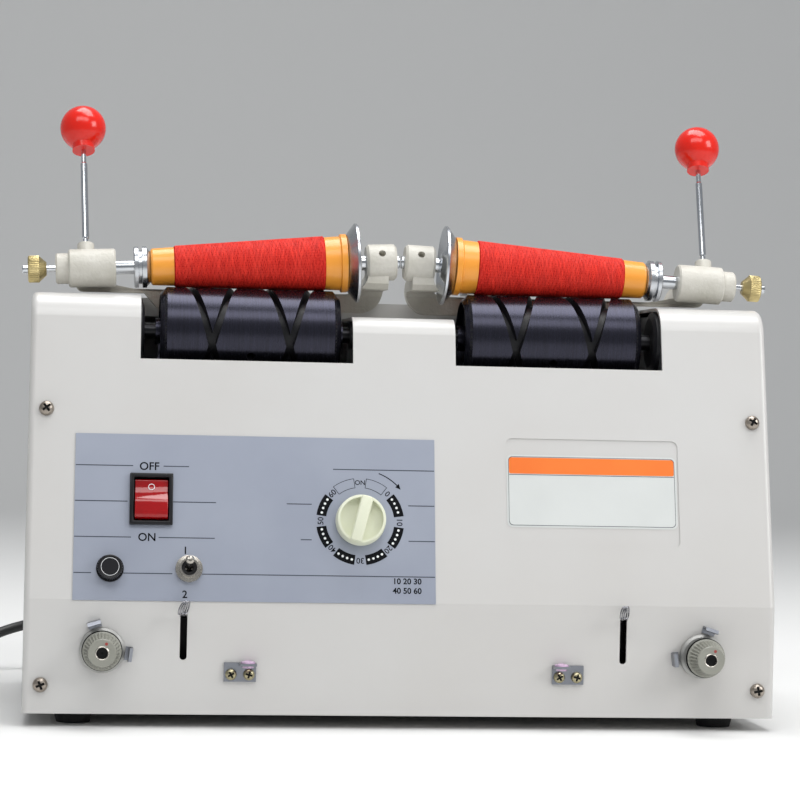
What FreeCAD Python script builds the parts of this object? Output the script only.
"""Two-head electric yarn cone winder, as a parametric document.

A bent sheet-metal case holds a motor and one belt-driven shaft with two grooved traverse drums.
Over each drum a cast cradle, hinged on the deck, presses a plastic cone on its drum. The row
frame stands at the middle of the winder's footprint: +X right, +Y back, +Z up, millimetres.
Most places are given from the case: depth behind the apron, height above the case's lower edge.
"""
import FreeCAD
import Part
import Sketcher
import math
import os
import re
from types import SimpleNamespace

from FreeCAD import Placement, Rotation, Vector

SIZES = {
    # case of bent sheet
    "case_width": 450, "case_depth": 240, "deck_height": 248, "apron_height": 67,
    "panel_lean": 13.4, "hood_radius": 18.5, "side_bend": 4, "sheet": 2, "cover_gap": 0.3,
    "return_depth": 16, "lip_depth": 109, "lip_height": 11.5, "foot_height": 8, "foot_radius": 12,
    "foot_inset": 30, "pan_height": 11, "frame_sheet": 2, "vent_length": 60, "vent_width": 5,
    # openings for the drums, and the low bridge between them
    "bay_outer": 159.4, "bay_sill": 209, "bridge_half": 31.3, "bridge_height": 237.5,
    "bridge_bend": 13, "outer_frame_place": 161, "centre_frame_place": 26, "centre_frame_depth": 140,
    # drums and their shaft
    "drum_radius": 27, "drum_length": 109.4, "drum_place": 92.9, "drum_depth": 65,
    "drum_height": 226.4, "drum_chamfer": 6, "drum_recess": 4, "drum_rim": 5, "hub_radius": 8,
    "hub_reach": 2.4, "shaft_radius": 5, "running_fit": 0.05, "shaft_left": 171, "shaft_right": 196,
    "groove_width": 4.6, "groove_depth": 6, "groove_travel": 94, "groove_turns": 2,
    "groove_phase": 0.3, "set_screw": 2.6, "flange_radius": 19.2, "flange_sheet": 4, "bearing_radius": 13,
    "bearing_length": 9, "centre_bearing": 8.4, "centre_flange": 3,
    # belt drive
    "pulley_place": 176, "pulley_width": 14, "pulley_radius": 18, "pulley_groove": 3,
    "motor_pulley": 13, "belt_width": 6, "belt_thick": 2.5, "motor_depth": 152, "motor_height": 66,
    "motor_radius": 39, "motor_length": 108, "motor_face": 150, "motor_shaft": 4,
    "bracket_sheet": 4, "bracket_foot": 70,
    # yarn cone and package
    "cone_big": 16.65, "cone_small": 11.25, "cone_start": 33.8, "cone_end": 153.7,
    "cone_wall": 2, "cone_rim": 18, "cone_rim_width": 4.2, "thread_start": 47.3,
    "thread_end": 139.7, "thread_build": 0.6, "package_gap": 0.3, "axis_depth": 69,
    # cradle
    "boss_radius": 11.65, "boss_start": 175, "boss_end": 203.7, "collar_radius": 9.4,
    "collar_end": 211.5, "inner_boss": 11.25, "inner_start": 2.6, "inner_end": 21.3,
    "bar_bottom": 241.5, "bar_top": 253, "bar_front": 96.5, "bar_back": 105.5, "foot_level": 250.5,
    "pivot_depth": 150, "pivot_height": 262, "pivot_radius": 4, "lug_radius": 8.5, "lug_width": 10,
    "lug_inner": 54, "lug_outer": 122, "stand_width": 22, "stand_sheet": 4, "stand_depth": 30,
    # spindle line
    "spindle_radius": 4.25, "thin_radius": 2, "spindle_start": 148, "shoulder": 187,
    "spindle_travel": 10, "nut_start": 217, "nut_taper": 4.2, "nut_end": 228.2, "nut_radius": 8.25,
    "tip_end": 231.7, "tip_radius": 2.5, "centre_radius": 12.65, "centre_start": 156.3,
    "centre_end": 164, "centre_plug": 8.95, "plug_length": 8, "stub_radius": 3.15, "stub_nut": 4,
    "disc_radius": 24.4, "disc_place": 26.2, "disc_rim": 2.4, "disc_dish": 4, "disc_hub": 14.2,
    "disc_seat": 0.3, "hub_length": 12,
    # lifting lever
    "lever_reach": 100, "lever_radius": 2.15, "lever_neck": 1.6, "ball_radius": 14.25,
    "ball_collar": 7, "ball_collar_length": 6, "socket_radius": 5.2, "socket_top": 16,
    # control panel
    "plate_width": 214.4, "plate_tall": 99.9, "plate_middle": -89.6, "plate_centre": 115.1,
    "plate_sheet": 0.6, "recess_width": 106, "recess_tall": 66, "recess_deep": 0.6,
    "recess_place": 114.2, "recess_height": 133.7, "bezel_width": 25.5, "bezel_tall": 31,
    "bezel_thick": 3, "rocker_place": -151.7, "rocker_height": 125.4, "rocker_body": 22,
    "rocker_body_tall": 27, "rocker_depth": 24, "rocker_wall": 2.2, "rocker_throw": 12,
    "fuse_place": -175.3, "fuse_height": 84.9, "fuse_cap": 8.1, "fuse_hole": 6.2,
    "fuse_depth": 34, "fuse_travel": 40, "cartridge_radius": 2.5, "cartridge_length": 30,
    "toggle_place": -129, "toggle_height": 85.1, "toggle_nut": 8, "toggle_hole": 6.1,
    "toggle_reach": 16, "toggle_throw": 12, "dial_place": -27.5, "dial_height": 114.4,
    "knob_radius": 15, "knob_height": 15, "dial_hole": 5.1, "pot_radius": 12, "pot_depth": 14,
    # thread path on the apron
    "tension_place": 179, "tension_height": 37.5, "ring_radius": 13.25, "ring_thick": 6,
    "post_radius": 3, "cap_back": 11.5, "cap_front": 8, "cap_length": 14, "cap_hole": 3.4,
    "right_cap_reach": 28, "left_cap_reach": 21, "slot_place": 131.5, "slot_bottom": 32,
    "slot_top": 60.5, "slot_width": 4.2, "wire_radius": 0.65, "wire_half": 1.1, "wire_level": 57,
    "wire_reach": 9, "wire_pivot": 24, "pin_radius": 1.2, "guide_place": 98, "guide_width": 19,
    "guide_bottom": 19.7, "guide_top": 31, "guide_sheet": 1.5, "shelf_depth": 9, "eyelet_radius": 3.4,
    "ear_width": 8, "ear_sheet": 1, "ear_reach": 4.6, "ear_height": 8.5, "ear_high": 107, "ear_low": -7,
    "screw_head": 4.2, "screw_radius": 2, "screw_place": 214.4, "low_screw": 16.8, "high_screw": 178,
    # mains lead
    "cord_radius": 3.5, "cord_exit": 195, "cord_exit_height": 30, "relief_length": 35,
    "coil_radius": 38.5, "coil_half": 10.5, "coil_height": 14, "coil_back": 58, "tail_shift": 14.2,
    "plug_width": 26, "plug_length": 30, "plug_height": 22, "nib_length": 14, "blade_reach": 18,
    "blade_width": 6.5, "blade_thick": 1.6, "blade_pitch": 12.6,
}

doc = FreeCAD.newDocument("ConeWinder")
sheet = doc.addObject("Spreadsheet::Sheet", "size")
for row, (alias, amount) in enumerate(SIZES.items(), start=1):
    sheet.set(f"A{row}", alias)
    sheet.set(f"B{row}", str(amount))
    sheet.setAlias(f"B{row}", alias)
doc.recompute()
size = SimpleNamespace(**{alias: float(sheet.get(alias)) for alias in SIZES})

APRON = (size.right_cap_reach - size.case_depth) / 2    # the apron's plane in the row frame
LEAN = math.radians(size.panel_lean)
TAPER = math.atan((size.cone_big - size.cone_small)
                  / (size.cone_end - size.cone_start - size.cone_rim_width))
TO_X = Rotation(Vector(0, 0, 1), Vector(1, 0, 0))
PROFILE = Rotation(Vector(1, 1, 1), 120)                # sketch x, y, z to depth, height, width
TO_FRONT = Rotation(Vector(1, 0, 0), 90)                # sketch x, y, z to width, height, front
TO_PANEL = Rotation(Vector(1, 0, 0), 90 - size.panel_lean)
SIDES = {"left": -1, "right": 1}
nodes = {}


# ---------------------------------------------------------------- helpers

def bound(text):
    """The expression with each size's name pointing at its cell."""
    return re.sub(r"[a-z]\w+", lambda word: ("size." if word[0] in SIZES else "") + word[0], text)


def value(text):
    return float(sheet.evalExpression(bound(text)))


def bind(item, name, text):
    item.setExpression(name, bound(text))


def at(x=0.0, depth=0.0, height=0.0, turn=Rotation()):
    """A place given from the apron and the case's lower edge."""
    return Placement(Vector(x, depth + APRON, height + size.foot_height), turn)


def on_panel(x, height, lift=0.0):
    """A place on the sloped panel; local Z stands out of it."""
    depth = (height - size.apron_height) * math.tan(LEAN)
    place = at(x, depth, height, TO_PANEL)
    return place.multiply(Placement(Vector(0, 0, lift), Rotation()))


def on_apron(x, height, lift=0.0):
    return at(x, -lift, height, TO_FRONT)


def on_axis(side, along=0.0):
    """A place on a cone's axis; local Z runs outwards from the machine's middle."""
    middle = (size.thread_start + size.thread_end) / 2
    shrink = (middle - size.cone_start - size.cone_rim_width) * math.tan(TAPER)
    package = size.cone_big + size.thread_build - shrink
    level = size.drum_height + size.drum_radius + size.package_gap + package / math.cos(TAPER)
    start = level + middle * math.tan(TAPER)
    outward = Vector(side * math.cos(TAPER), 0, -math.sin(TAPER))
    place = at(0, size.axis_depth, start, Rotation(Vector(0, 0, 1), outward))
    return place.multiply(Placement(Vector(0, 0, along), Rotation()))


def keep(node, item):
    """Names a finished sub-part."""
    item.Label = node
    nodes[node] = item
    return item


def outline(body, role, points):
    """A closed outline of straight lines, each corner bound to the sheet."""
    plane = next(item for item in body.Origin.OriginFeatures if item.Role == role)
    sketch = body.newObject("Sketcher::SketchObject", body.Name + "_outline")
    sketch.AttachmentSupport = (plane, [""])
    sketch.MapMode = "FlatFace"
    corners = [Vector(value(x), value(y), 0) for x, y in points]
    for start, end in zip(corners, corners[1:] + corners[:1]):
        sketch.addGeometry(Part.LineSegment(start, end), False)
    for index in range(len(points)):
        sketch.addConstraint(Sketcher.Constraint("Coincident", (index - 1) % len(points), 2, index, 1))
    for index, corner in enumerate(points):
        for kind, text in zip(("DistanceX", "DistanceY"), corner):
            number = sketch.addConstraint(Sketcher.Constraint(kind, -1, 1, index, 1, value(text)))
            bind(sketch, f"Constraints[{number}]", text)
    return sketch


def turned(name, profile, place):
    """A lathe-turned piece from (radius, height) corners about its local Z."""
    body = doc.addObject("PartDesign::Body", name)
    sketch = outline(body, "XZ_Plane", profile)
    turn = body.newObject("PartDesign::Revolution", name + "_turn")
    turn.Profile = sketch
    turn.ReferenceAxis = (sketch, ["V_Axis"])
    turn.Angle = 360
    body.Placement = place
    return body


def padded(name, points, length, place, centred=False):
    """A flat outline given a thickness along local Z."""
    body = doc.addObject("PartDesign::Body", name)
    pad = body.newObject("PartDesign::Pad", name + "_pad")
    pad.Profile = outline(body, "XY_Plane", points)
    bind(pad, "Length", length)
    pad.Midplane = centred
    body.Placement = place
    doc.recompute()
    return body


def rectangle(width, height):
    """Corners of a rectangle round the sketch's origin."""
    return [(f"-{width} / 2", f"-{height} / 2"), (f"{width} / 2", f"-{height} / 2"),
            (f"{width} / 2", f"{height} / 2"), (f"-{width} / 2", f"{height} / 2")]


def rounded(body, radius, wanted):
    """Rounds the edges of the body's last feature for which wanted(edge) holds."""
    base = body.Tip
    names = [f"Edge{number}" for number, edge in enumerate(base.Shape.Edges, start=1) if wanted(edge)]
    fillet = body.newObject("PartDesign::Fillet", body.Name + "_round")
    fillet.Base = (base, names)
    bind(fillet, "Radius", radius)
    doc.recompute()
    return body


def upright(edge):
    """True for a straight edge along the pad's direction."""
    ends = [vertex.Point for vertex in edge.Vertexes]
    return len(ends) == 2 and abs(ends[0].z - ends[1].z) > 0.01 and (ends[0] - ends[1]).cross(
        Vector(0, 0, 1)).Length < 0.01


def upright_at(*corners):
    """Picks the pad's edges that stand on the given corners."""
    spots = [Vector(value(x), value(y), 0) for x, y in corners]

    def wanted(edge):
        foot = edge.Vertexes[0].Point
        return upright(edge) and any(
            Vector(foot.x, foot.y, 0).distanceToPoint(spot) < 0.01 for spot in spots)
    return wanted


def box(name, length, width, height, place):
    """A block centred on its place in X and Y, standing on it in Z."""
    block = doc.addObject("Part::Box", name)
    bind(block, "Length", length)
    bind(block, "Width", width)
    bind(block, "Height", height)
    corner = Vector(-value(length) / 2, -value(width) / 2, 0)
    block.Placement = place.multiply(Placement(corner, Rotation()))
    return block


def rod(name, radius, height, place):
    item = doc.addObject("Part::Cylinder", name)
    bind(item, "Radius", radius)
    bind(item, "Height", height)
    item.Placement = place
    return item


def group(name, pieces):
    item = doc.addObject("Part::Compound", name)
    item.Links = pieces
    return item


def joined(name, pieces):
    item = doc.addObject("Part::MultiFuse", name)
    item.Shapes = pieces
    item.Refine = True
    return item


def shared(name, pieces):
    item = doc.addObject("Part::MultiCommon", name)
    item.Shapes = pieces
    return item


def cut(name, base, tools):
    item = doc.addObject("Part::Cut", name)
    item.Base = base
    item.Tool = tools[0] if len(tools) == 1 else group(name + "_tools", tools)
    return item


def mirrored(name, source):
    item = doc.addObject("Part::Mirroring", name)
    item.Source = source
    item.Normal = Vector(1, 0, 0)
    return item


def shape_of(name, shape, place=Placement()):
    """A piece whose form neither a sketch nor a primitive gives."""
    item = doc.addObject("Part::Feature", name)
    item.Shape = shape
    item.Placement = place
    return item


# ---------------------------------------------------------------- case

def case_block(name, inset, top, bend, width="case_width", x=0.0, floor=None):
    """The case's closed form, moved in by inset, with its hood rounded and its front sides bent."""
    run = f"(({top} - {inset} - apron_height) * tan(panel_lean) + {inset} / cos(panel_lean))"
    low = floor or f"-{inset}"
    corners = [(f"{inset}", low),
               (f"{inset}", f"apron_height - {inset} * tan(panel_lean / 2)"),
               (run, f"{top} - {inset}"),
               (f"case_depth - {inset}", f"{top} - {inset}"),
               (f"case_depth - {inset}", low)]
    body = padded(name, corners, f"{width} - 2 * {inset}", at(x, turn=PROFILE), centred=True)
    return rounded(body, f"{bend} - {inset}", upright_at(corners[2]))


def front_side(edge):
    """True for an edge of the case's outline on a side face, ahead of the back."""
    ends = [vertex.Point for vertex in edge.Vertexes]
    return abs(ends[0].z - ends[1].z) < 0.01 and any(point.x < size.case_depth - 3 for point in ends) \
        and not all(abs(point.y - ends[0].y) < 0.01 and point.y < 1 for point in ends)


def stadium_holes():
    """The apron's two slots for the take-up wires."""
    holes = []
    for name, side in SIDES.items():
        for level in ("slot_bottom + slot_width / 2", "slot_top - slot_width / 2"):
            holes.append(rod(f"slot_end_{name}", "slot_width / 2", "6 * sheet",
                             on_apron(side * size.slot_place, value(level), -3 * size.sheet)))
        holes.append(box(f"slot_{name}", "slot_width", "slot_top - slot_bottom - slot_width", "6 * sheet",
                         on_apron(side * size.slot_place, (size.slot_bottom + size.slot_top) / 2,
                                  -3 * size.sheet)))
    return holes


def panel_holes():
    """Cutters for what is mounted through the sloped panel."""
    through = -3 * size.sheet
    return [
        box("rocker_hole", "rocker_body + 2 * cover_gap", "rocker_body_tall + 2 * cover_gap", "6 * sheet",
            on_panel(size.rocker_place, size.rocker_height, through)),
        rod("fuse_opening", "fuse_hole + cover_gap", "6 * sheet",
            on_panel(size.fuse_place, size.fuse_height, through)),
        rod("toggle_opening", "toggle_hole + cover_gap", "6 * sheet",
            on_panel(size.toggle_place, size.toggle_height, through)),
        rod("dial_opening", "dial_hole + cover_gap", "6 * sheet",
            on_panel(size.dial_place, size.dial_height, through)),
    ]


def screw_spots():
    """The front cover's four corner screws."""
    for side in SIDES.values():
        yield on_apron(side * size.screw_place, size.low_screw)
        yield on_panel(side * size.screw_place, size.high_screw)


def make_case():
    outer = rounded(case_block("case_outer", "0", "deck_height", "hood_radius"), "side_bend", front_side)
    inner = rounded(case_block("case_inner", "sheet", "deck_height", "hood_radius"),
                    "side_bend - sheet", front_side)
    shell = cut("case_shell", outer, [inner])
    reach = "(deck_height - return_depth - apron_height) * tan(panel_lean) + return_depth"
    zone = padded("front_zone", [
        ("-return_depth", "-return_depth"), ("return_depth", "-return_depth"),
        ("return_depth", "apron_height"), (reach, "deck_height - return_depth"),
        ("lip_depth", "deck_height - return_depth"), ("lip_depth", "deck_height + return_depth"),
        ("-return_depth", "deck_height + return_depth")], "2 * case_width", at(turn=PROFILE), centred=True)
    bay = box("bay_opening", "2 * bay_outer", "2 * lip_depth", "deck_height",
              at(0, 0, size.bay_sill))
    low = cut("bridge_shell", case_block("bridge_outer", "0", "bridge_height", "bridge_bend"),
              [case_block("bridge_inner", "sheet", "bridge_height", "bridge_bend")])
    span = box("bridge_span", "2 * bridge_half", "2 * (lip_depth - cover_gap)", "deck_height",
               at(0, 0, size.bay_sill))
    recess = padded("recess", rectangle("recess_width", "recess_tall"), "2 * sheet", on_panel(
        size.recess_place, size.recess_height, -size.recess_deep))
    rounded(recess, "side_bend", upright)
    screws = [rod("screw_hole", "screw_radius + cover_gap / 2", "8 * sheet", spot.multiply(
        Placement(Vector(0, 0, -4 * size.sheet), Rotation()))) for spot in screw_spots()]
    posts = [rod("post_hole", "post_radius + cover_gap / 2", "6 * sheet", on_apron(
        side * size.tension_place, size.tension_height, -3 * size.sheet)) for side in SIDES.values()]
    sheet_metal = cut("front_sheet", shared("front_part", [shell, zone]),
                      [bay, recess] + stadium_holes() + panel_holes() + screws + posts)
    keep("front_cover", joined("front_cover", [sheet_metal, shared("bridge", [low, span])]))

    lip = box("deck_lip", "2 * bay_outer", "sheet", "lip_height - sheet / 2",
              at(0, size.lip_depth + size.sheet / 2, size.deck_height - size.lip_height))
    vents = []
    for level in range(6):
        for side in (-1, 1):
            height = size.case_depth / 2 + 2.4 * level * size.vent_width
            vents.append(box("vent", "vent_length", "6 * sheet", "vent_width", at(
                side * size.vent_length, size.case_depth, height)))
    cord_hole = rod("cord_hole", "cord_radius + 3.5", "6 * sheet", at(
        -size.cord_exit, size.case_depth + 3 * size.sheet, size.cord_exit_height, TO_FRONT))
    rear = cut("rear_sheet", cut("rear_part", shell, [zone]), vents + [cord_hole])
    keep("rear_cover", joined("rear_cover", [rear, lip]))


def make_base():
    half = "case_width / 2 - sheet - cover_gap"
    front, back = "sheet + cover_gap", "case_depth - sheet - cover_gap"
    wall = "sheet"
    pan = padded("pan_block", [(f"-({half})", front), (half, front), (half, back), (f"-({half})", back)],
                 "pan_height", at())
    rounded(pan, "side_bend", upright)
    hollow = padded("pan_hollow", [(f"-({half} - {wall})", f"{front} + {wall}"),
                                   (f"{half} - {wall}", f"{front} + {wall}"),
                                   (f"{half} - {wall}", f"{back} - {wall}"),
                                   (f"-({half} - {wall})", f"{back} - {wall}")],
                    "pan_height", at(height=size.sheet))
    rounded(hollow, "side_bend - sheet", upright)
    passage = rod("pan_cord_notch", "cord_radius + 4", "8 * sheet", at(
        -size.cord_exit, size.case_depth + 2 * size.sheet, size.cord_exit_height, TO_FRONT))
    keep("base_plate", cut("base_plate", pan, [hollow, passage]))
    feet = []
    for x in (-1, 1):
        for depth in (size.foot_inset, size.case_depth - size.foot_inset):
            spot = at(x * (size.case_width / 2 - size.foot_inset), depth, -size.foot_height)
            feet.append(turned("foot", [
                ("0", "2"), ("foot_radius / 3", "2"), ("foot_radius / 3", "0"), ("foot_radius - 2", "0"),
                ("foot_radius", "foot_height"), ("0", "foot_height")], spot))
    keep("rubber_feet", group("rubber_feet", feet))


def make_frames():
    """Upright plates that close the bays' ends and carry the shaft."""
    plates = []
    inset = "(2 * sheet + 2 * cover_gap)"
    for side in SIDES.values():
        place = side * (size.outer_frame_place + size.frame_sheet / 2)
        plate = case_block("frame_block", inset, "deck_height", "hood_radius",
                           f"frame_sheet + 2 * {inset}", place, "sheet")
        shaft_way = rod("frame_bore", "bearing_radius + cover_gap", "8 * sheet",
                        at(place - 4 * size.sheet, size.drum_depth, size.drum_height, TO_X))
        window = box("frame_window", "8 * sheet", "case_depth / 3", "case_depth / 3",
                     at(place, size.motor_depth, size.motor_height - size.case_depth / 6))
        belt_way = box("belt_window", "8 * sheet", "case_depth / 4", "case_depth / 5",
                       at(place, size.case_depth * 0.32, size.case_depth * 0.3))
        notch = box("switch_notch", "8 * sheet", "2 * rocker_depth", "2 * rocker_body_tall", at(
            place, size.rocker_depth, size.rocker_height - size.rocker_body_tall))
        plates.append(cut("side_frame", plate, [shaft_way, window, belt_way, notch]))
    keep("side_frames", group("side_frames", plates))

    walls = []
    for side in SIDES.values():
        place = side * (size.centre_frame_place + size.frame_sheet / 2)
        wall = case_block("wall_block", inset, "bridge_height", "bridge_bend",
                          f"frame_sheet + 2 * {inset}", place, "sheet")
        behind = box("wall_end", "8 * sheet", "case_depth", "2 * deck_height", at(
            place, size.lip_depth - size.cover_gap + size.case_depth / 2, -size.deck_height / 2))
        bore = rod("wall_bore", "centre_bearing - 2 + cover_gap", "8 * sheet",
                   at(place - 4 * size.sheet, size.drum_depth, size.drum_height, TO_X))
        window = box("wall_window", "8 * sheet", "case_depth / 5", "case_depth / 2",
                     at(place, size.drum_depth + 4, size.case_depth * 0.2))
        notch = box("dial_notch", "8 * sheet", "5 * pot_depth", "3 * pot_radius", at(
            place, 0, size.dial_height - 1.5 * size.pot_radius))
        walls.append(cut("centre_wall", wall, [behind, bore, window, notch]))
    foot = box("centre_foot", "2 * centre_frame_place", "lip_depth / 2", "frame_sheet",
               at(0, size.drum_depth, size.sheet))
    tie = box("centre_tie", "2 * centre_frame_place", "frame_sheet", "case_depth / 8",
              at(0, size.lip_depth - size.cover_gap - size.frame_sheet / 2, size.case_depth * 0.7))
    keep("centre_frame", joined("centre_frame", walls + [foot, tie]))


# ---------------------------------------------------------------- drums and drive

def groove_cutter(start, end, first, last):
    """One way of the yarn groove: a swept channel from turn to turn round the drum."""
    steps = 14 * int(size.groove_turns)
    half = size.groove_width / 2
    reach = size.drum_radius + 2

    def spot(share, radius):
        angle = 2 * math.pi * (first + (last - first) * share)
        return Vector(radius * math.cos(angle), radius * math.sin(angle), start + (end - start) * share)

    curve = Part.BSplineCurve()
    curve.interpolate([spot(step / steps, size.drum_radius) for step in range(steps + 1)])
    path = Part.Wire([curve.toShape()])
    origin = spot(0, size.drum_radius)
    radial = Vector(origin.x, origin.y, 0).normalize()
    side = curve.tangent(curve.FirstParameter)[0].cross(radial).normalize()
    bottom = origin - radial * size.groove_depth
    top = origin + radial * (reach - size.drum_radius)
    narrow = half * 0.8
    section = Part.makePolygon([top + side * half, top - side * half, bottom - side * narrow,
                                bottom + side * narrow, top + side * half])
    sweep = Part.BRepOffsetAPI.MakePipeShell(path)
    sweep.setAuxiliarySpine(Part.Wire([Part.makeLine(Vector(0, 0, start), Vector(0, 0, end))]), True, 0)
    sweep.add(section, False, False)
    sweep.build()
    sweep.makeSolid()
    return sweep.shape()


def make_drum(name, side):
    """A drum with one closed groove that crosses itself, two turns out and two back, round at its ends."""
    left_end = side * size.drum_place - size.drum_length / 2
    place = at(left_end, size.drum_depth, size.drum_height, TO_X)
    rim = "drum_radius - drum_rim"
    blank = turned(f"drum_blank_{name}", [
        ("shaft_radius", "-hub_reach"), ("hub_radius", "-hub_reach"), ("hub_radius", "drum_recess"),
        (rim, "drum_recess"), (rim, "0"), ("drum_radius - drum_chamfer + 2", "0"),
        ("drum_radius", "drum_chamfer - 2"), ("drum_radius", "drum_length - drum_chamfer + 2"),
        ("drum_radius - drum_chamfer + 2", "drum_length"), (rim, "drum_length"),
        (rim, "drum_length - drum_recess"), ("hub_radius", "drum_length - drum_recess"),
        ("hub_radius", "drum_length + hub_reach"), ("shaft_radius", "drum_length + hub_reach")], place)
    margin = (size.drum_length - size.groove_travel) / 2
    phase, turns = size.groove_phase, size.groove_turns
    ways, ends = [], []
    for start, end, first, last in ((margin, size.drum_length - margin, phase, phase + turns),
                                    (size.drum_length - margin, margin, phase + turns, phase + 2 * turns)):
        ways.append(shape_of(f"groove_{name}", groove_cutter(start, end, first, last), place))
        outward = Vector(math.cos(2 * math.pi * first), math.sin(2 * math.pi * first), 0)
        bottom = outward * (size.drum_radius - size.groove_depth) + Vector(0, 0, start)
        ends.append(rod(f"groove_end_{name}", "0.46 * groove_width", "groove_depth + 2", place.multiply(
            Placement(bottom, Rotation(Vector(0, 0, 1), outward)))))
    screw = rod(f"drum_screw_{name}", "set_screw", "drum_radius", at(
        side * size.drum_place, size.drum_depth, size.drum_height,
        Rotation(Vector(0, 0, 1), Vector(0, -math.cos(math.radians(33)), -math.sin(math.radians(33))))
    ).multiply(Placement(Vector(0, 0, size.hub_radius), Rotation())))
    once = cut(f"drum_once_{name}", blank, [ways[0]])
    twice = cut(f"drum_twice_{name}", once, [ways[1]])
    keep(f"drum_{name}", cut(f"drum_{name}", twice, [screw] + ends))


def belt_loop(first, first_radius, second, second_radius):
    """A closed wire round two wheels, given in depth and height."""
    span = second - first
    lean = math.atan2(span.y, span.x)
    open_angle = math.acos((first_radius - second_radius) / span.Length)
    spots = []
    for centre, radius in ((first, first_radius), (second, second_radius)):
        for sign in (1, -1):
            angle = lean + sign * open_angle
            spots.append(centre + Vector(radius * math.cos(angle), radius * math.sin(angle), 0))
    back = first - Vector(math.cos(lean), math.sin(lean), 0) * first_radius
    front = second + Vector(math.cos(lean), math.sin(lean), 0) * second_radius
    return Part.Wire([Part.Arc(spots[0], back, spots[1]).toShape(), Part.makeLine(spots[1], spots[3]),
                      Part.Arc(spots[3], front, spots[2]).toShape(), Part.makeLine(spots[2], spots[0])])


def grooved_wheel(name, radius, bore, place):
    """A V-belt wheel with a hub on its inner side."""
    return turned(name, [
        (bore, "0"), (f"{bore} + 4", "0"), (f"{bore} + 4", "2"), (radius, "2"), (radius, "3.5"),
        (f"{radius} - pulley_groove", "5"), (f"{radius} - pulley_groove", "pulley_width - 3"),
        (radius, "pulley_width - 1.5"), (radius, "pulley_width"), (bore, "pulley_width")], place)


def make_drive():
    reach = "shaft_left + shaft_right"
    keep("drum_shaft", rod("drum_shaft", "shaft_radius", reach, at(
        -size.shaft_left, size.drum_depth, size.drum_height, TO_X)))
    for name, side in SIDES.items():
        make_drum(name, side)
    bearings = []
    for side in SIDES.values():
        turn = Rotation(Vector(0, 0, 1), Vector(side, 0, 0))
        bore = "shaft_radius + running_fit"
        bearings.append(turned("outer_bearing", [
            (bore, "0"), ("flange_radius - 4", "0"), ("flange_radius", "1.5"),
            ("flange_radius", "flange_sheet"), ("bearing_radius", "flange_sheet"),
            ("bearing_radius", "bearing_length"), (bore, "bearing_length")],
            at(side * (size.outer_frame_place - size.flange_sheet), size.drum_depth, size.drum_height,
               turn)))
        inward = Rotation(Vector(0, 0, 1), Vector(-side, 0, 0))
        bearings.append(turned("inner_bearing", [
            (bore, "0"), ("centre_bearing", "0"), ("centre_bearing", "centre_flange"),
            ("centre_bearing - 2", "centre_flange"), ("centre_bearing - 2", "bearing_length"),
            (bore, "bearing_length")],
            at(side * (size.centre_frame_place + size.frame_sheet + size.centre_flange),
               size.drum_depth, size.drum_height, inward)))
    keep("shaft_bearings", group("shaft_bearings", bearings))

    keep("drum_pulley", grooved_wheel("drum_pulley", "pulley_radius", "shaft_radius", at(
        size.pulley_place, size.drum_depth, size.drum_height, TO_X)))
    place = at(size.pulley_place, size.motor_depth, size.motor_height, TO_X)
    wheel = grooved_wheel("motor_wheel", "motor_pulley", "motor_shaft", place)
    stem = rod("motor_stem", "motor_shaft", "pulley_place + pulley_width - motor_face + 20", at(
        size.motor_face - 20, size.motor_depth, size.motor_height, TO_X))
    keep("motor_pulley", joined("motor_pulley", [wheel, stem]))

    wheels = (Vector(size.drum_depth, size.drum_height, 0), size.pulley_radius - size.pulley_groove,
              Vector(size.motor_depth, size.motor_height, 0), size.motor_pulley - size.pulley_groove)
    slack = size.package_gap
    inner = belt_loop(wheels[0], wheels[1] + slack, wheels[2], wheels[3] + slack)
    outer = belt_loop(wheels[0], wheels[1] + slack + size.belt_thick,
                      wheels[2], wheels[3] + slack + size.belt_thick)
    band = Part.Face(outer).cut(Part.Face(inner)).extrude(Vector(0, 0, size.belt_width))
    start = size.pulley_place + 5 + (size.pulley_width - 8 - size.belt_width) / 2
    keep("drive_belt", shape_of("drive_belt", band, at(start, turn=PROFILE)))

    bore, back = "motor_shaft + running_fit", "motor_length"
    inward = Rotation(Vector(0, 0, 1), Vector(-1, 0, 0))
    keep("motor_body", turned("motor_body", [
        (bore, "0"), ("motor_radius / 3", "0"), ("motor_radius / 3", "4"), ("motor_radius - 4", "4"),
        ("motor_radius", "9"), ("motor_radius", "30"), ("motor_radius - 2", "31"),
        ("motor_radius - 2", f"{back} - 26"), ("motor_radius", f"{back} - 25"),
        ("motor_radius", f"{back} - 6"), ("motor_radius - 5", back), ("0", back), ("0", "24"), (bore, "24")],
        at(size.motor_face + size.bracket_sheet, size.motor_depth, size.motor_height, inward)))
    wall = box("bracket_wall", "bracket_sheet", "2 * motor_radius", "motor_height + motor_radius - sheet",
               at(size.motor_face + size.bracket_sheet / 2, size.motor_depth, size.sheet))
    sole = box("bracket_sole", "bracket_foot", "2 * motor_radius", "bracket_sheet",
               at(size.motor_face + size.bracket_sheet - size.bracket_foot / 2, size.motor_depth,
                  size.sheet))
    nose = rod("bracket_bore", "motor_radius / 3 + cover_gap", "8 * sheet", at(
        size.motor_face - 4 * size.sheet, size.motor_depth, size.motor_height, TO_X))
    keep("motor_bracket", cut("motor_bracket", joined("bracket_block", [wall, sole]), [nose]))


# ---------------------------------------------------------------- cradles

def lever_place(side, along=0.0):
    """A place on the lifting lever's line; local Z runs up to the ball."""
    base = on_axis(side, value("(boss_start + boss_end) / 2 + 3.6"))
    direction = Vector(side * 3.4, 40, 80.5).normalize()
    place = Placement(base.Base, Rotation(Vector(0, 0, 1), direction))
    return place.multiply(Placement(Vector(0, 0, along), Rotation()))


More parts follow.
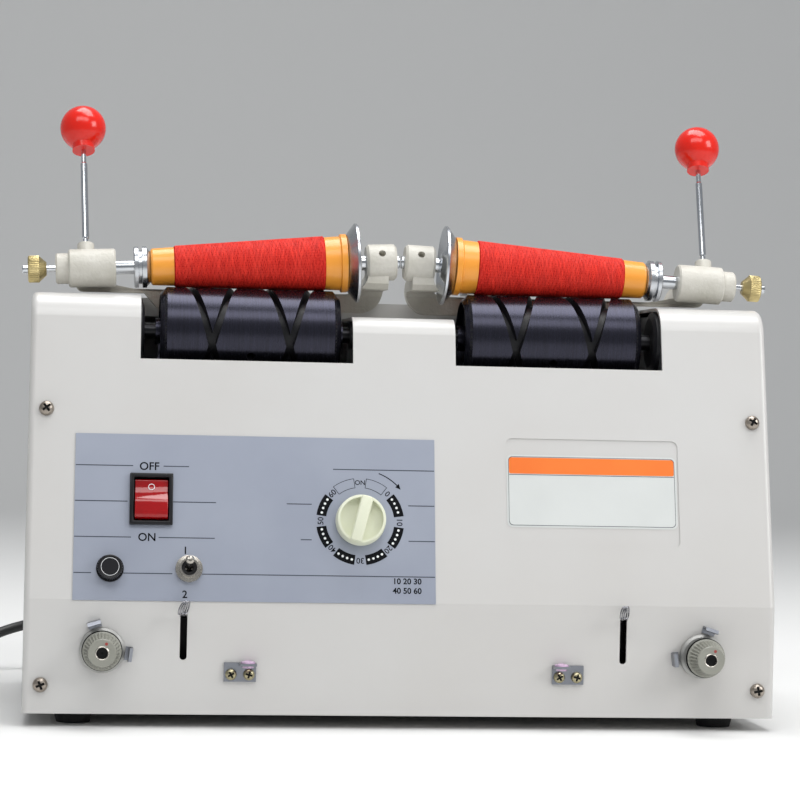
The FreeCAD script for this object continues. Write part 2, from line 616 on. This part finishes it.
def make_cradle():
    """One casting: two bosses, two arms, a bar behind the drum and two hinge lugs over the deck."""
    stem_inner, stem_outer, stem_top = "7.5", "20", "268"
    front = padded("cradle_front", [
        (stem_inner, "bar_bottom"), ("bay_outer - 11", "bar_bottom"), ("bay_outer - 3", "foot_level"),
        ("boss_end - 5", "foot_level"), ("boss_end - 5", stem_top), ("boss_start + 5", stem_top),
        ("boss_start", "bar_top + 2"), ("boss_start - 12", "bar_top"), (stem_outer, "bar_top"),
        (stem_outer, "272"), (stem_inner, "272")], "3 * case_depth", at(turn=TO_FRONT), centred=True)
    rounded(front, "14", upright_at((stem_inner, "bar_bottom")))
    rounded(front, "12", upright_at((stem_outer, "bar_top")))
    rounded(front, "4", upright_at(("boss_end - 5", "foot_level")))
    side = padded("cradle_side", [
        ("axis_depth - 7", "269"), ("axis_depth - 7", "259"), ("axis_depth - 3", "bar_top + 2.3"),
        ("bar_front - 3", "bar_top + 2.3"), ("bar_front", "bar_top - 1"), ("bar_front", "bar_bottom"),
        ("bar_back", "bar_bottom"), ("bar_back", "bar_top + 7"), ("axis_depth + 17", "bar_top + 12"),
        ("axis_depth + 7", "272")], "2 * case_width", at(turn=PROFILE), centred=True)
    rounded(side, "7", upright_at(("bar_back", "bar_top + 7"), ("axis_depth + 17", "bar_top + 12")))
    rounded(side, "3", upright_at(("bar_front - 3", "bar_top + 2.3"), ("axis_depth - 3", "bar_top + 2.3")))
    arms = shared("cradle_arms", [front, side])
    outer = turned("outer_boss", [
        ("0", "boss_start"), ("boss_radius - 1", "boss_start"), ("boss_radius", "boss_start + 1"),
        ("boss_radius", "boss_end - 1"), ("boss_radius - 1", "boss_end"), ("collar_radius", "boss_end"),
        ("collar_radius", "collar_end - 1"), ("collar_radius - 1", "collar_end"), ("0", "collar_end")],
        on_axis(1))
    inner = turned("inner_boss", [
        ("0", "inner_start"), ("inner_boss - 1.5", "inner_start"), ("inner_boss", "inner_start + 1.5"),
        ("inner_boss", "inner_end - 1.5"), ("inner_boss - 1.5", "inner_end"), ("0", "inner_end")],
        on_axis(1))
    lugs = []
    for place in (size.lug_inner, size.lug_outer):
        web = padded("lug_web", [
            ("bar_front + 1", "bar_bottom + 4"), ("bar_back - 0.5", "bar_bottom + 4"),
            ("lip_depth", "deck_height + 2.6"), ("pivot_depth", "pivot_height - lug_radius"),
            ("pivot_depth", "pivot_height + lug_radius"), ("lip_depth + 12", "pivot_height + 2.5"),
            ("bar_front + 1", "bar_top + 5")], "lug_width", at(place, turn=PROFILE))
        lugs.append(web)
        lugs.append(rod("lug_eye", "lug_radius", "lug_width", at(
            place, size.pivot_depth, size.pivot_height, TO_X)))
    socket = rod("lever_socket", "socket_radius", "socket_top", lever_place(1))
    casting = joined("cradle_casting", [arms, outer, inner, socket] + lugs)
    bores = [
        rod("wide_bore", "spindle_radius + running_fit", "shoulder + spindle_travel + 2 - boss_start + 4",
            on_axis(1, size.boss_start - 4)),
        rod("thin_bore", "thin_radius + running_fit", "collar_end - shoulder",
            on_axis(1, size.shoulder + 4)),
        rod("stub_bore", "stub_radius", "inner_end + 4", on_axis(1)),
        rod("pivot_bore", "pivot_radius + running_fit", "lug_outer - lug_inner + 4 * lug_width", at(
            size.lug_inner - 2 * size.lug_width, size.pivot_depth, size.pivot_height, TO_X)),
        rod("lever_bore", "lever_neck", "socket_top", lever_place(1, size.socket_top - 5)),
        rod("boss_screw", "2.2", "inner_boss", on_axis(1, value("(inner_start + inner_end) / 2")).multiply(
            Placement(Vector(), Rotation(Vector(0, 0, 1), Vector(-0.47, -0.88, 0)))).multiply(
            Placement(Vector(0, 0, size.stub_radius + 3), Rotation()))),
    ]
    right = cut("cradle_right", casting, bores)
    keep("cradle_right", right)
    keep("cradle_left", mirrored("cradle_left", right))


def make_levers():
    for name, side in SIDES.items():
        keep(f"lever_rod_{name}", turned(f"lever_rod_{name}", [
            ("0", "socket_top - 5"), ("lever_neck", "socket_top - 5"), ("lever_neck", "socket_top + 4"),
            ("lever_radius", "socket_top + 5"), ("lever_radius", "lever_reach - ball_radius - 12"),
            ("lever_neck", "lever_reach - ball_radius - 11"), ("lever_neck", "lever_reach - 4"),
            ("0", "lever_reach - 4")], lever_place(side)))
        ball = doc.addObject("Part::Sphere", f"ball_{name}")
        bind(ball, "Radius", "ball_radius")
        ball.Placement = lever_place(side, size.lever_reach)
        collar = rod(f"ball_collar_{name}", "ball_collar", "ball_collar_length", lever_place(
            side, size.lever_reach - size.ball_radius - 2))
        hole = rod(f"ball_hole_{name}", "lever_neck", "ball_radius + 6", lever_place(
            side, value("lever_reach - ball_radius - 10")))
        body = joined(f"ball_body_{name}", [ball, collar])
        keep(f"lever_ball_{name}", cut(f"lever_ball_{name}", body, [hole]))


def make_hinges():
    stands, pins = [], []
    inner = "lug_inner + lug_width + 1"
    outer = "lug_outer - 1 - stand_sheet"
    for side in SIDES.values():
        for place, foot_side in ((value(inner), 1), (value(outer), -1)):
            middle = side * (place + size.stand_sheet / 2)
            web = padded("stand_web", [
                ("pivot_depth - stand_depth / 2", "deck_height"),
                ("pivot_depth + stand_depth / 2", "deck_height"),
                ("pivot_depth + lug_radius", "pivot_height"), ("pivot_depth + 4", "pivot_height + 8"),
                ("pivot_depth - 4", "pivot_height + 8"), ("pivot_depth - lug_radius", "pivot_height")],
                "stand_sheet", at(middle, turn=PROFILE), centred=True)
            foot = box("stand_foot", "stand_width", "stand_depth", "stand_sheet - 1", at(
                middle + side * foot_side * (size.stand_width - size.stand_sheet) / 2,
                size.pivot_depth, size.deck_height))
            bore = rod("stand_bore", "pivot_radius", "stand_width", at(
                middle - size.stand_width / 2, size.pivot_depth, size.pivot_height, TO_X))
            stands.append(cut("stand", joined("stand_block", [web, foot]), [bore]))
        turn = Rotation(Vector(0, 0, 1), Vector(side, 0, 0))
        length = "lug_outer - lug_inner + lug_width"
        pins.append(turned("pivot_pin", [
            ("0", "-4"), ("pivot_radius + 2.5", "-4"), ("pivot_radius + 2.5", "-0.5"),
            ("pivot_radius", "-0.5"), ("pivot_radius", f"{length} + 0.5"),
            ("pivot_radius + 2.5", f"{length} + 0.5"),
            ("pivot_radius + 2.5", f"{length} + 2"), ("pivot_radius", f"{length} + 2"),
            ("pivot_radius", f"{length} + 4"), ("0", f"{length} + 4")],
            at(side * size.lug_inner, size.pivot_depth, size.pivot_height, turn)))
    keep("hinge_stands", group("hinge_stands", stands))
    keep("pivot_pins", group("pivot_pins", pins))


def make_spindle_line(name, side):
    """What sits on one cone's axis, from the middle of the machine outwards."""
    slope = "(cone_big - cone_small) / (cone_end - cone_start - cone_rim_width)"
    keep(f"stub_axle_{name}", turned(f"stub_axle_{name}", [
        ("0", "0.4"), ("stub_nut - 0.6", "0.4"), ("stub_nut", "1"), ("stub_nut", "inner_start"),
        ("stub_radius", "inner_start"), ("stub_radius", "inner_end"), ("stub_radius + 1.6", "inner_end"),
        ("stub_radius + 1.6", "disc_place - 1"), ("stub_radius", "disc_place - 1"),
        ("stub_radius", "cone_start + hub_length"), ("0", "cone_start + hub_length")], on_axis(side)))
    seat = "cone_start - disc_seat"
    keep(f"base_disc_{name}", turned(f"base_disc_{name}", [
        ("stub_radius + running_fit", "disc_place - 0.7"), ("disc_hub / 2", "disc_place - 0.7"),
        ("disc_hub - 1", "disc_place + disc_dish"), ("disc_radius - 1", "disc_place"),
        ("disc_radius", "disc_place + 0.5"), ("disc_radius", "disc_place + disc_rim - 0.5"),
        ("disc_radius - 0.6", "disc_place + disc_rim"), ("disc_hub + 3", seat), ("disc_hub", seat),
        ("disc_hub", "cone_start + hub_length / 2"), ("disc_hub - 2", "cone_start + hub_length - 0.5"),
        ("stub_radius + running_fit", "cone_start + hub_length - 0.5")], on_axis(side)))
    wall = "cone_wall"
    keep(f"cone_{name}", turned(f"cone_{name}", [
        (f"cone_big - {wall}", "cone_start"), ("cone_rim", "cone_start"),
        ("cone_rim", "cone_start + cone_rim_width - 0.8"), ("cone_big", "cone_start + cone_rim_width"),
        ("cone_small", "cone_end - 1"), ("cone_small - 0.8", "cone_end"),
        (f"cone_small - {wall}", "cone_end"), (f"cone_big - {wall}", "cone_start + cone_rim_width")],
        on_axis(side)))
    skin = "cone_big + 0.02 - ({} - cone_start - cone_rim_width) * " + slope
    start, end = skin.format("thread_start"), skin.format("thread_end")
    keep(f"thread_{name}", turned(f"thread_{name}", [
        (start, "thread_start"), (f"{start} + thread_build", "thread_start + 1"),
        (f"{end} + thread_build", "thread_end - 1"), (end, "thread_end")], on_axis(side)))
    keep(f"end_centre_{name}", turned(f"end_centre_{name}", [
        ("spindle_radius + running_fit", "centre_start - 2 - plug_length + 1"),
        ("centre_plug - 2", "centre_start - 2 - plug_length"), ("centre_plug", "centre_start - plug_length"),
        ("centre_plug", "cone_end - 0.2"), ("centre_plug + 0.6", "cone_end + 0.3"),
        ("centre_radius - 0.8", "centre_start"), ("centre_radius", "centre_start"),
        ("centre_radius", "centre_start + 2.6"), ("centre_radius - 2.4", "centre_start + 3"),
        ("centre_radius - 2.4", "centre_end - 3"), ("centre_radius", "centre_end - 2.6"),
        ("centre_radius", "centre_end - 0.5"), ("centre_radius - 0.5", "centre_end"),
        ("spindle_radius + running_fit", "centre_end")], on_axis(side)))
    keep(f"spindle_{name}", turned(f"spindle_{name}", [
        ("0", "spindle_start"), ("spindle_radius", "spindle_start"), ("spindle_radius", "shoulder"),
        ("thin_radius", "shoulder"), ("thin_radius", "nut_end"), ("tip_radius", "nut_end"),
        ("tip_radius", "tip_end - 0.6"), ("tip_radius - 0.6", "tip_end"), ("0", "tip_end")], on_axis(side)))
    keep(f"brass_nut_{name}", turned(f"brass_nut_{name}", [
        ("thin_radius", "nut_start"), ("nut_radius / 2", "nut_start"),
        ("nut_radius - 0.5", "nut_start + nut_taper"), ("nut_radius", "nut_start + nut_taper + 0.5"),
        ("nut_radius", "nut_end - 0.6"), ("nut_radius - 0.6", "nut_end"), ("thin_radius", "nut_end")],
        on_axis(side)))


# ---------------------------------------------------------------- control panel

def make_panel():
    plate = padded("plate_blank", rectangle("plate_width", "plate_tall"), "plate_sheet", on_panel(
        size.plate_middle, size.plate_centre))
    keep("control_plate", cut("control_plate", plate, panel_holes()))

    lift = size.plate_sheet
    spot = on_panel(size.rocker_place, size.rocker_height, lift)
    deep = spot.multiply(Placement(Vector(0, 0, -size.rocker_depth), Rotation()))
    bezel = rounded(padded("rocker_bezel", rectangle("bezel_width", "bezel_tall"), "bezel_thick", spot),
                    "1.5", upright)
    body = box("rocker_can", "rocker_body", "rocker_body_tall", "rocker_depth", deep)
    well = box("rocker_well", "rocker_body - 2 * rocker_wall", "rocker_body_tall - 2 * rocker_wall",
               "rocker_depth", spot.multiply(Placement(Vector(0, 0, -12), Rotation())))
    pin_holes = rod("rocker_pin_hole", "1.6", "rocker_body", spot.multiply(Placement(
        Vector(-value("rocker_body / 2 - 0.6"), 0, -3), TO_X)))
    keep("rocker_housing", cut("rocker_housing", joined("rocker_case", [bezel, body]), [well, pin_holes]))
    reach = "(rocker_body_tall / 2 - rocker_wall - 0.9)"
    upended = Rotation(Vector(0, 0, 1), 90).multiply(Rotation(Vector(1, 0, 0), 90))
    button = padded("rocker_paddle", [
        (f"-{reach}", "-6.5"), ("0", "-8.5"), (reach, "-6.5"), (f"{reach} - 0.8", "0.4"), ("0", "4"),
        (f"1.8 - {reach}", "5.4"), (f"-{reach}", "0")],
        "rocker_body - 2 * rocker_wall - 1", spot.multiply(Placement(Vector(), upended)), centred=True)
    axle = rod("rocker_axle", "1.5", "rocker_body - 2 * rocker_wall + 2", spot.multiply(Placement(
        Vector(-value("rocker_body / 2 - rocker_wall + 1"), 0, -3), TO_X)))
    keep("rocker_button", joined("rocker_button", [button, axle]))

    spot = on_panel(size.fuse_place, size.fuse_height, lift)
    keep("fuse_holder", turned("fuse_holder", [
        ("cartridge_radius + 1", "1"), ("fuse_cap", "1"), ("fuse_cap", "0"), ("fuse_hole", "0"),
        ("fuse_hole", "-fuse_depth"), ("0", "-fuse_depth"), ("0", "-fuse_depth + 2"),
        ("cartridge_radius + 1", "-fuse_depth + 2")], spot))
    keep("fuse_cap", turned("fuse_cap", [
        ("0", "-cartridge_length"), ("cartridge_radius", "-cartridge_length"), ("cartridge_radius", "1.3"),
        ("fuse_cap - 0.6", "1.3"), ("fuse_cap - 0.6", "6"), ("fuse_cap - 3", "9"), ("0", "10")], spot))

    spot = on_panel(size.toggle_place, size.toggle_height, lift)
    can = box("toggle_can", "13", "20", "18", on_panel(
        size.toggle_place, size.toggle_height, -size.sheet - size.cover_gap - 18))
    bush = turned("toggle_bush", [
        ("2.4", "-20"), ("toggle_hole", "-20"), ("toggle_hole", "0"), ("toggle_nut", "0"),
        ("toggle_nut", "2.4"), ("toggle_hole - 0.4", "2.8"), ("toggle_hole - 0.4", "6"), ("4.6", "6"),
        ("4.6", "1"), ("2.4", "-6")], spot)
    well = rod("toggle_well", "2.4", "30", spot.multiply(Placement(Vector(0, 0, -14), Rotation())))
    keep("toggle_switch", joined("toggle_switch", [cut("toggle_can_open", can, [well]), bush]))
    bat = turned("toggle_bat", [
        ("0", "-3.5"), ("1.2", "-3"), ("1.4", "0"), ("1.5", "5"), ("2.2", "toggle_reach - 2"),
        ("2.6", "toggle_reach - 0.5"), ("1.6", "toggle_reach + 0.6"), ("0", "toggle_reach + 1")],
        spot.multiply(Placement(Vector(), Rotation(Vector(1, 0, 0), -size.toggle_throw))))
    pivot = rod("toggle_pivot", "1.1", "4", spot.multiply(Placement(Vector(-2, 0, 0), TO_X)))
    keep("toggle_lever", joined("toggle_lever", [bat, pivot]))

    spot = on_panel(size.dial_place, size.dial_height, lift)
    keep("speed_control", turned("speed_control", [
        ("3.1", "3"), ("dial_hole", "3"), ("dial_hole", "2.4"), ("dial_hole + 2.4", "2.4"),
        ("dial_hole + 2.4", "0"), ("dial_hole", "0"), ("dial_hole", "-sheet - plate_sheet - 0.3"),
        ("pot_radius", "-sheet - plate_sheet - 0.3"), ("pot_radius", "-sheet - plate_sheet - pot_depth"),
        ("0", "-sheet - plate_sheet - pot_depth"), ("0", "-8"), ("3.1", "-8")], spot))
    skirt = turned("knob_skirt", [
        ("0", "-7.5"), ("3", "-7.5"), ("3", "4"), ("8", "4"), ("8", "1"), ("knob_radius", "1"),
        ("knob_radius", "2.5"), ("knob_radius - 1", "4.5"), ("knob_radius - 1.6", "5.5"), ("0", "5.5")],
        spot)
    grip = padded("knob_grip", [
        ("-4", "2 - knob_radius"), ("4", "2 - knob_radius"), ("4", "knob_radius - 2"),
        ("0", "knob_radius - 0.5"), ("-4", "knob_radius - 2")], "knob_height - 5",
        spot.multiply(Placement(Vector(0, 0, 5), Rotation(Vector(0, 0, 1), -13))))
    keep("speed_knob", joined("speed_knob", [skirt, grip]))

    board = box("board", "110", "70", "1.6", at(-90, size.case_depth - 80, 20))
    sink = box("heat_sink", "6", "50", "34", at(-60, size.case_depth - 80, 21.6))
    stands = [rod("board_stand", "3", "20 - sheet", at(
        -90 + x * 48, size.case_depth - 80 + y * 28, size.sheet)) for x in (-1, 1) for y in (-1, 1)]
    caps = [rod("capacitor", "8", "24", at(-90 + x * 20, size.case_depth - 66, 21.6)) for x in (-1, 0)]
    keep("control_board", joined("control_board", [board, sink] + stands + caps))


# ---------------------------------------------------------------- thread path on the apron

def make_thread_path():
    posts = []
    reaches = {"left": "left_cap_reach", "right": "right_cap_reach"}
    for name, side in SIDES.items():
        reach = reaches[name]
        spot = on_apron(side * size.tension_place, size.tension_height)
        posts.append(turned("tension_post", [
            ("0", "-10"), ("post_radius", "-10"), ("post_radius", "0"), ("ring_radius - 1", "0"),
            ("ring_radius", "1"), ("ring_radius", "ring_thick - 1.5"),
            ("ring_radius - 1.5", "ring_thick - 0.4"),
            ("post_radius", "ring_thick - 0.4"), ("post_radius", f"{reach} - 5"),
            ("0", f"{reach} - 5")], spot))
        keep(f"tension_knob_{name}", turned(f"tension_knob_{name}", [
            ("post_radius + running_fit", f"{reach} - cap_length"),
            ("cap_back - 1", f"{reach} - cap_length"), ("cap_back", f"{reach} - cap_length + 1"),
            ("cap_back - 0.6", f"{reach} - 4"), ("cap_front + 0.8", f"{reach} - 3"), ("cap_front", reach),
            ("cap_hole", reach), ("cap_hole", f"{reach} - 4"),
            ("post_radius + running_fit", f"{reach} - 4")], spot))
    keep("tension_posts", group("tension_posts", posts))

    guides, eyelets = [], []
    for side in SIDES.values():
        for angle in (size.ear_high, size.ear_low):
            turn = Rotation(Vector(0, 0, 1), angle if side < 0 else 180 - angle)
            spot = on_apron(side * size.tension_place, size.tension_height).multiply(Placement(
                Vector(), turn.multiply(Rotation(Vector(1, 0, 0), 90))))
            inner, outer = "ring_radius + cover_gap", "ring_radius + ear_reach"
            guides.append(padded("guide_ear", [
                (inner, "0"), (outer, "0"), (outer, "ear_height"), (f"{outer} - 2", "ear_height + 1"),
                (f"{outer} - 2.4", "ear_height"), (f"{outer} - ear_sheet", "ear_height - 0.8"),
                (f"{outer} - ear_sheet", "ear_sheet"), (inner, "ear_sheet")],
                "ear_width", spot, centred=True))
        x = side * size.guide_place
        height = (size.guide_bottom + size.guide_top) / 2
        plate = box("guide_plate", "guide_width", "guide_top - guide_bottom", "guide_sheet",
                    on_apron(x, height))
        inner = x - side * (size.guide_width / 2 - 5)
        shelf = box("guide_shelf", "10", "guide_sheet", "shelf_depth", on_apron(
            inner, size.guide_top - size.guide_sheet / 2))
        eye = rod("eye_hole", "eyelet_radius", "4 * guide_sheet", at(
            inner, -size.shelf_depth + 4.4, size.guide_top - 2 * size.guide_sheet))
        guides.append(cut("guide", joined("guide_blank", [plate, shelf]), [eye]))
        eyelets.append(turned("eyelet", [
            ("1.5", "-1.2"), ("eyelet_radius", "-1.2"), ("eyelet_radius", "guide_sheet"),
            ("eyelet_radius + 0.9", "guide_sheet"), ("eyelet_radius + 0.9", "guide_sheet + 1"),
            ("1.9", "guide_sheet + 1.4"), ("1.5", "guide_sheet + 0.8")],
            at(inner, -size.shelf_depth + 4.4, size.guide_top - size.guide_sheet)))
    keep("thread_guides", group("thread_guides", guides))
    keep("guide_eyelets", group("guide_eyelets", eyelets))

    screws = []
    pan_head = [("0", "-7"), ("screw_radius", "-7"), ("screw_radius", "0"), ("screw_head", "0"),
                ("screw_head", "0.8"), ("screw_head - 1.2", "2.4"), ("0", "2.6")]
    clip = [("screw_radius", "-sheet - 3"), ("5", "-sheet - 3"), ("5", "-sheet - 0.3"),
            ("screw_radius", "-sheet - 0.3")]
    for spot in screw_spots():
        screws += [turned("cover_screw", pan_head, spot), turned("clip_nut", clip, spot)]
    small = [("0", "guide_sheet"), ("3", "guide_sheet"), ("3", "guide_sheet + 0.6"),
             ("2", "guide_sheet + 1.8"), ("0", "guide_sheet + 2")]
    for side in SIDES.values():
        for shift in (-5.3, 5.3):
            screws.append(turned("guide_screw", small, on_apron(side * size.guide_place + shift, 24)))
    keep("cover_screws", group("cover_screws", screws))


def take_up_wire(name, side):
    """A hairpin of spring wire on a small barrel; its bend stands out of the slot."""
    near, far, level = size.wire_pivot, -size.wire_reach, size.wire_level
    half, bend = size.wire_half, size.wire_half
    front = Vector(0, far - bend, level)
    path = Part.Wire([
        Part.makeLine(Vector(-half, near, level), Vector(-half, far, level)),
        Part.Arc(Vector(-half, far, level), front, Vector(half, far, level)).toShape(),
        Part.makeLine(Vector(half, far, level), Vector(half, near, level))])
    section = Part.Wire([Part.makeCircle(size.wire_radius, Vector(-half, near, level), Vector(0, 1, 0))])
    bent = path.makePipeShell([section], True, True)
    wire = shape_of(f"hairpin_{name}", bent, at(side * size.slot_place))
    turn = at(side * size.slot_place - 4, size.wire_pivot, size.wire_level, TO_X)
    barrel = rod(f"barrel_{name}", "2 * pin_radius", "8", turn)
    bore = rod(f"barrel_bore_{name}", "pin_radius + running_fit", "8", turn)
    whole = joined(f"wire_{name}", [wire, barrel])
    keep(f"take_up_wire_{name}", cut(f"take_up_wire_{name}", whole, [bore]))


def make_take_ups():
    holders = []
    for name, side in SIDES.items():
        take_up_wire(name, side)
        x = side * size.slot_place
        pin = rod("wire_pin", "pin_radius", "16", at(x - 8, size.wire_pivot, size.wire_level, TO_X))
        cheeks = [box("cheek", "2", "10", "17", at(x + way * 7, size.wire_pivot, size.wire_level - 8))
                  for way in (-1, 1)]
        bridge = box("cheek_bridge", "16", "2", "17", at(x, size.wire_pivot + 6, size.wire_level - 8))
        switch = box("microswitch", "6.4", "10", "16", at(x, size.wire_pivot + 12, size.wire_level - 8))
        arm = box("holder_arm", "12", "2", "52", at(x, size.wire_pivot + 6, size.wire_level - 55))
        holders.append(joined("wire_holder", cheeks + [pin, bridge, switch, arm]))
    keep("wire_switches", group("wire_switches", holders))


# ---------------------------------------------------------------- mains lead

CORD_ROUTE = [(-195, 35, 30), (-195, 51, 29.5), (-200, 68.5, 28.5), (-213, 81.5, 26.5),
              (-231.5, 86.5, 22.5), (-249.5, 80.5, 17), (-262.5, 65.5, 10.5), (-269.5, 45, 4.2),
              (-272.3, 22, -1.6), (-273.1, -2, -4.4), (-273, -34.5, -4.5)]


def cord_tube(route, radius):
    """A tube along straight runs joined by tangent arcs. It prints its bends' radii and volume share."""
    spots = [Vector(*spot) for spot in route]
    edges, start, radii = [], spots[0], []
    for before, spot, after in zip(spots, spots[1:], spots[2:]):
        inward, onward = (before - spot), (after - spot)
        half_turn = (math.pi - inward.getAngle(onward)) / 2
        tangent = 0.45 * min(inward.Length, onward.Length)
        radii.append(tangent / math.tan(half_turn))
        enter = spot + inward.normalize() * tangent
        leave = spot + onward.normalize() * tangent
        middle = (enter + leave) / 2
        centre = spot + (middle - spot).normalize() * (radii[-1] / math.cos(half_turn))
        crown = centre + (spot - centre).normalize() * radii[-1]
        edges += [Part.makeLine(start, enter), Part.Arc(enter, crown, leave).toShape()]
        start = leave
    edges.append(Part.makeLine(start, spots[-1]))
    print("cord arc radii, mm:", [round(radius, 1) for radius in radii])
    path = Part.Wire(edges)
    section = Part.Wire([Part.makeCircle(radius, spots[0], spots[1] - spots[0])])
    tube = path.makePipeShell([section], True, False)
    share = tube.Volume / (math.pi * radius ** 2 * path.Length)
    print("cord volume share:", round(share, 4), "length", round(path.Length, 1))
    return tube


def make_mains_lead():
    back = Placement(Vector(), Rotation(Vector(0, 0, 1), Vector(0, 1, 0)))
    spot = at(-size.cord_exit, size.case_depth, size.cord_exit_height).multiply(back)
    keep("cord_relief", turned("cord_relief", [
        ("cord_radius", "-6"), ("cord_radius + 5", "-6"), ("cord_radius + 5", "-sheet - 0.3"),
        ("cord_radius + 3.3", "-sheet - 0.3"), ("cord_radius + 3.3", "0"), ("cord_radius + 5", "0"),
        ("cord_radius + 5", "3"), ("cord_radius + 3", "5"), ("cord_radius + 1", "relief_length"),
        ("cord_radius", "relief_length")], spot))
    tube = cord_tube(CORD_ROUTE, size.cord_radius)
    keep("power_cord", shape_of("cord_tube", tube, at(0, size.case_depth)))
    coil_x = CORD_ROUTE[-1][0] - size.coil_radius - 2 * size.cord_radius
    coil_depth = size.case_depth - size.coil_back
    outer, inner = "coil_radius + coil_half", "coil_radius - coil_half"
    keep("cord_coil", turned("cord_coil", [
        (f"{inner} + 3", "0"), (f"{outer} - 3", "0"), (outer, "3"), (outer, "coil_height - 3"),
        (f"{outer} - 3", "coil_height"), (f"{inner} + 3", "coil_height"), (inner, "coil_height - 3"),
        (inner, "3")], at(coil_x, coil_depth, -size.foot_height)))
    # the plug lies where the last turn runs off the coil, with the tip of its nib against the coil
    tail = size.coil_radius + size.tail_shift
    side_on = tail - size.cord_radius - 1.5
    rear = coil_depth - math.sqrt((value(outer) + size.running_fit) ** 2 - side_on ** 2) - size.nib_length
    along = at(coil_x + tail, rear, -size.foot_height, Rotation(180, 0, 0))
    block = rounded(padded("plug_block", [
        ("5 - plug_width / 2", "0"), ("plug_width / 2 - 5", "0"), ("plug_width / 2", "plug_length / 2"),
        ("plug_width / 2", "plug_length"), ("-plug_width / 2", "plug_length"),
        ("-plug_width / 2", "plug_length / 2")], "plug_height", along), "3", upright)
    backward = Placement(Vector(0, 0, size.plug_height / 2), Rotation(Vector(0, 0, 1), Vector(0, -1, 0)))
    nib = turned("plug_nib", [
        ("0", "-4"), ("cord_radius + 3", "-4"), ("cord_radius + 1.5", "nib_length"), ("0", "nib_length")],
        along.multiply(backward))
    blades = [box("plug_blade", "blade_thick", "blade_reach", "blade_width", along.multiply(Placement(
        Vector(side * size.blade_pitch / 2, size.plug_length + size.blade_reach / 2 - 1,
               (size.plug_height - size.blade_width) / 2), Rotation()))) for side in SIDES.values()]
    keep("mains_plug", joined("mains_plug", [block, nib] + blades))


# ---------------------------------------------------------------- build, test and write

make_case()
make_base()
make_frames()
make_drive()
make_cradle()
make_levers()
make_hinges()
for side_name, side_sign in SIDES.items():
    make_spindle_line(side_name, side_sign)
make_panel()
make_thread_path()
make_take_ups()
make_mains_lead()
doc.recompute()

for item in doc.Objects:
    if {"Invalid", "Error"} & set(item.State):
        raise RuntimeError(f"{item.Label} failed: {item.State}")
os.makedirs("parts", exist_ok=True)
for node, item in nodes.items():
    shape = item.Shape
    if shape.isNull() or not shape.isValid():
        raise RuntimeError(f"{node} has no valid shape")
    shape.exportStep(f"parts/{node}.step")
print(len(nodes), "sub-parts,", sum(len(item.Shape.Solids) for item in nodes.values()), "solids")
